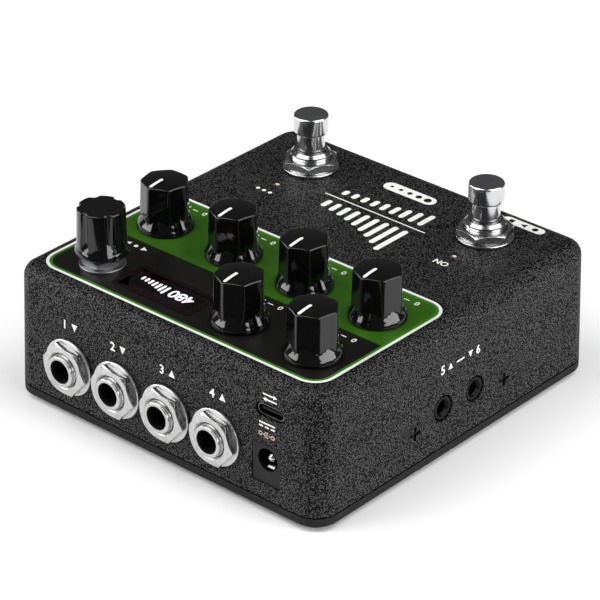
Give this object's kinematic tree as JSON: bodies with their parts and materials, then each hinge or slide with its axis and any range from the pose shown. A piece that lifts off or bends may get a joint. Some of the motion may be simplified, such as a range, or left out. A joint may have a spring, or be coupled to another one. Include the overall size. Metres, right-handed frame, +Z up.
{
  "type": "tape echo pedal",
  "caption": "Compact echo effect pedal with dials, a push encoder, a small display, two footswitches and audio jacks on two walls.",
  "frame": {"origin": "plan centre of the case on the underside of the rubber mat, where the pedal rests", "axes": "+Z up, +Y towards the wall with the big jacks, +X to the right of a player who stands on the -Y side"},
  "size_m": [0.11, 0.1187, 0.0577],
  "materials": {
    "powder_coat": "fine sand-texture black powder coat",
    "base_coat": "smooth black powder coat",
    "mat_rubber": "matt moulded sheet",
    "panel_print": "printed film, green and black zones",
    "window_acrylic": "polished, dark tint",
    "display_glass": "glossy display glass on a moulded holder",
    "circuit_board": "solder-masked fibreglass",
    "moulded_black": "moulded nylon",
    "socket_grey": "smooth moulded face",
    "knob_plastic": "polished moulded phenolic",
    "nickel": "bright nickel plate",
    "chrome_button": "bright chrome plate",
    "zinc_washer": "bright zinc plate",
    "steel": "plain steel",
    "black_screw": "black oxide",
    "brass": "turned",
    "contact_metal": "plated spring metal",
    "clear_pipe": "polished clear plastic"
  },
  "bodies": {
    "case": {"enclosure_shell": "powder_coat", "base_plate": "base_coat", "rubber_mat": "mat_rubber", "base_screws": "black_screw", "panel_overlay": "panel_print", "display_window": "window_acrylic", "display_module": "display_glass", "control_board": "circuit_board", "main_board": "circuit_board", "side_board": "circuit_board", "switch_board": "circuit_board", "board_standoffs": "brass", "board_screws": "steel", "board_links": "moulded_black", "side_screws": "black_screw", "side_jacks": "moulded_black", "footswitch_cases": "moulded_black", "footswitch_bushings": "nickel", "footswitch_washers": "zinc_washer", "footswitch_nuts": "nickel", "jack_bushings": "nickel", "jack_washers": "zinc_washer", "jack_nuts": "nickel", "jack_contacts": "contact_metal", "dc_socket": "socket_grey", "dc_contacts": "contact_metal", "usb_socket": "steel", "light_pipes": "clear_pipe", "bushing_nuts": "nickel", "encoder_body": "steel", "encoder_washer": "zinc_washer", "jack_body_1": "moulded_black", "jack_body_2": "moulded_black", "jack_body_3": "moulded_black", "jack_body_4": "moulded_black", "pot_time": "steel", "pot_repeat": "steel", "pot_level": "steel", "pot_reverb": "steel", "pot_bass": "steel", "pot_treble": "steel", "footswitch_spring_left": "steel", "footswitch_spring_right": "steel"},
    "dial_time": {"knob_time": "knob_plastic", "shaft_time": "steel"},
    "dial_repeat": {"knob_repeat": "knob_plastic", "shaft_repeat": "steel"},
    "dial_level": {"knob_level": "knob_plastic", "shaft_level": "steel"},
    "dial_reverb": {"knob_reverb": "knob_plastic", "shaft_reverb": "steel"},
    "dial_bass": {"knob_bass": "knob_plastic", "shaft_bass": "steel"},
    "dial_treble": {"knob_treble": "knob_plastic", "shaft_treble": "steel"},
    "select_turn": {"encoder_rotor": "moulded_black"},
    "select_push": {"encoder_shaft": "steel", "select_knob": "knob_plastic"},
    "footswitch_left": {"footswitch_plunger_left": "chrome_button"},
    "footswitch_right": {"footswitch_plunger_right": "chrome_button"}
  },
  "joints": [
    {"name": "time_turn", "type": "hinge", "parent": "case", "child": "dial_time", "pos_m": [-0.0378, 0.0146, 0.0405], "axis": [0, 0, 1], "range_deg": [-150, 150]},
    {"name": "repeat_turn", "type": "hinge", "parent": "case", "child": "dial_repeat", "pos_m": [-0.0126, 0.0146, 0.0405], "axis": [0, 0, 1], "range_deg": [-150, 150]},
    {"name": "level_turn", "type": "hinge", "parent": "case", "child": "dial_level", "pos_m": [0.0126, 0.0146, 0.0405], "axis": [0, 0, 1], "range_deg": [-150, 150]},
    {"name": "reverb_turn", "type": "hinge", "parent": "case", "child": "dial_reverb", "pos_m": [0.0378, 0.0146, 0.0405], "axis": [0, 0, 1], "range_deg": [-150, 150]},
    {"name": "bass_turn", "type": "hinge", "parent": "case", "child": "dial_bass", "pos_m": [-0.0378, 0.0402, 0.0405], "axis": [0, 0, 1], "range_deg": [-150, 150]},
    {"name": "treble_turn", "type": "hinge", "parent": "case", "child": "dial_treble", "pos_m": [-0.0126, 0.0402, 0.0405], "axis": [0, 0, 1], "range_deg": [-150, 150]},
    {"name": "select_turn", "type": "hinge", "parent": "case", "child": "select_turn", "pos_m": [0.0358, 0.0414, 0.0405], "axis": [0, 0, 1], "continuous": true},
    {"name": "select_push", "type": "slide", "parent": "select_turn", "child": "select_push", "axis": [0, 0, -1], "range_m": [0, 0.0005], "stiffness_N_per_m": 4000, "springref_m": -0.0005},
    {"name": "left_press", "type": "slide", "parent": "case", "child": "footswitch_left", "axis": [0, 0, -1], "range_m": [0, 0.0025], "stiffness_N_per_m": 2500, "springref_m": -0.002, "deforming": ["footswitch_spring_left"]},
    {"name": "right_press", "type": "slide", "parent": "case", "child": "footswitch_right", "axis": [0, 0, -1], "range_m": [0, 0.0025], "stiffness_N_per_m": 2500, "springref_m": -0.002, "deforming": ["footswitch_spring_right"]}
  ]
}
